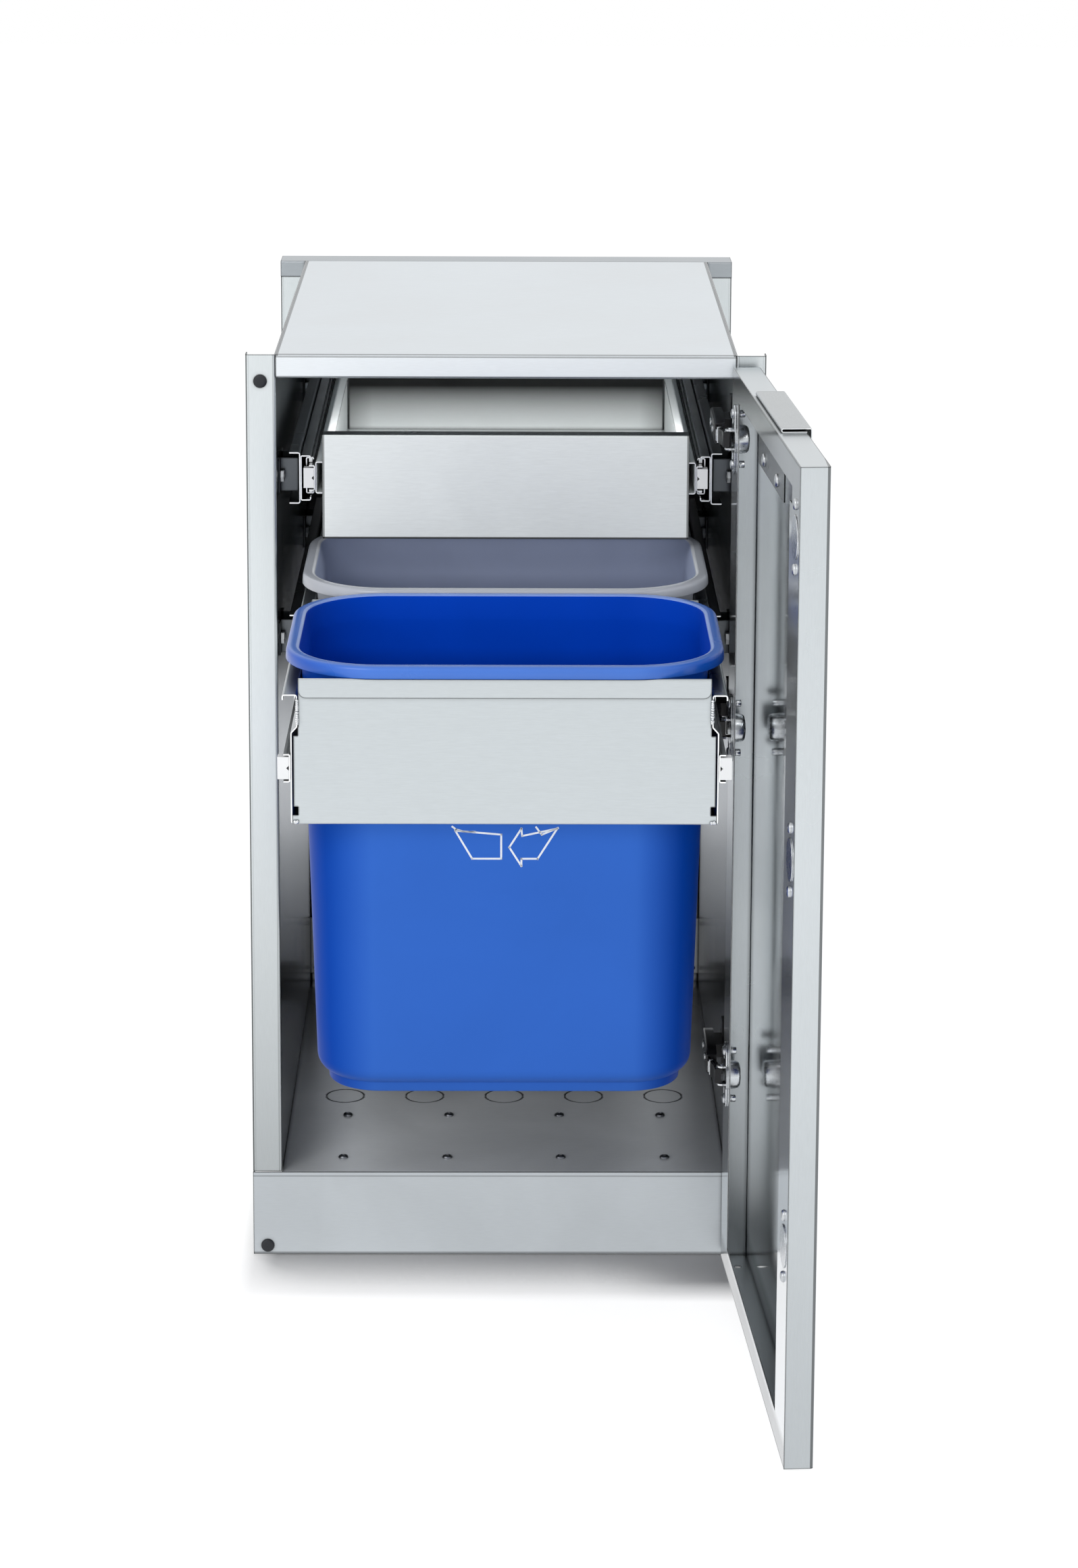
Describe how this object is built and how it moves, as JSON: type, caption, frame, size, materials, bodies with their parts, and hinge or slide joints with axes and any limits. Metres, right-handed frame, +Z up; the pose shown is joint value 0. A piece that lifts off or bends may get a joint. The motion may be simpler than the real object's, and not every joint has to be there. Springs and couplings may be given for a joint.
{
  "type": "trash bin cabinet",
  "caption": "Stainless steel base cabinet with a hinged door, a pull-out bin carrier that holds lift-out waste bins on ball-bearing runners, and a shallow drawer above it.",
  "frame": {"origin": "front bottom centre of the case: middle of the base rail, at the floor, in the plane of the front posts", "axes": "+X to the right as seen from the front, +Y from the front into the cabinet, +Z up"},
  "size_m": [0.4785, 1.0709, 0.835],
  "materials": {
    "case_steel": "brushed lengthwise",
    "top_steel": "brushed across",
    "base_steel": "satin",
    "door_steel": "brushed outside, bright inside",
    "handle_steel": "satin",
    "carrier_steel": "brushed across",
    "drawer_steel": "brushed across",
    "runner_zinc": "bright zinc plate",
    "channel_steel": "dark satin",
    "stop_nylon": "white nylon",
    "fastener_steel": "plated",
    "hinge_black": "black",
    "hinge_chrome": "plated",
    "bumper_rubber": "matt",
    "bin_blue": "moulded, satin",
    "bin_grey": "moulded, satin"
  },
  "bodies": {
    "cabinet": {"side_panel_left": "case_steel", "side_panel_right": "case_steel", "floor_pan": "case_steel", "back_panel": "case_steel", "top_cover": "top_steel", "base_rail": "base_steel", "rear_rail": "case_steel", "rear_tabs": "case_steel", "tab_rivets": "fastener_steel", "side_bolts": "fastener_steel", "floor_screws": "fastener_steel", "bumpers": "bumper_rubber", "hinge_mounts": "hinge_black", "hinge_arms": "hinge_black", "carrier_channel_left": "channel_steel", "carrier_channel_right": "channel_steel", "carrier_slide_outer_left": "runner_zinc", "carrier_slide_outer_right": "runner_zinc", "drawer_channel_left": "channel_steel", "drawer_channel_right": "channel_steel", "drawer_slide_outer_left": "runner_zinc", "drawer_slide_outer_right": "runner_zinc", "wall_spacers": "channel_steel", "spacer_nuts": "fastener_steel"},
    "door": {"door_shell": "door_steel", "door_frame": "door_steel", "handle": "handle_steel", "handle_bracket": "handle_steel", "bracket_screws": "fastener_steel", "hinge_cups": "hinge_chrome", "cup_screws": "fastener_steel", "blank_discs": "hinge_chrome", "blank_screws": "fastener_steel"},
    "carrier": {"carrier_front": "carrier_steel", "carrier_side_left": "carrier_steel", "carrier_side_right": "carrier_steel", "carrier_back": "carrier_steel", "carrier_divider": "carrier_steel", "carrier_slide_inner_left": "runner_zinc", "carrier_slide_inner_right": "runner_zinc", "carrier_slide_stops": "stop_nylon", "front_bin": "bin_blue", "rear_bin": "bin_grey"},
    "carrier_middle": {"carrier_slide_middle_left": "runner_zinc", "carrier_slide_middle_right": "runner_zinc"},
    "drawer": {"drawer_front": "drawer_steel", "drawer_box": "drawer_steel", "drawer_side_channel_left": "drawer_steel", "drawer_side_channel_right": "drawer_steel", "drawer_slide_inner_left": "runner_zinc", "drawer_slide_inner_right": "runner_zinc", "drawer_slide_stops": "stop_nylon"},
    "drawer_middle": {"drawer_slide_middle_left": "runner_zinc", "drawer_slide_middle_right": "runner_zinc"}
  },
  "joints": [
    {"name": "door_hinge", "type": "hinge", "parent": "cabinet", "child": "door", "pos_m": [0.21585, -0.01925, 0.4], "axis": [0, 0, 1], "range_deg": [-4.5, 16.5]},
    {"name": "carrier_slide", "type": "slide", "parent": "cabinet", "child": "carrier", "axis": [0, -1, 0], "range_m": [-0.43, 0.085]},
    {"name": "carrier_middle_slide", "type": "slide", "parent": "cabinet", "child": "carrier_middle", "axis": [0, -1, 0], "range_m": [-0.215, 0.0425]},
    {"name": "drawer_slide", "type": "slide", "parent": "cabinet", "child": "drawer", "axis": [0, -1, 0], "range_m": [0, 0.5]},
    {"name": "drawer_middle_slide", "type": "slide", "parent": "cabinet", "child": "drawer_middle", "axis": [0, -1, 0], "range_m": [0, 0.25]}
  ],
  "couplings": [
    {"joint": "carrier_middle_slide", "follows": "carrier_slide", "ratio": 0.5},
    {"joint": "drawer_middle_slide", "follows": "drawer_slide", "ratio": 0.5}
  ]
}
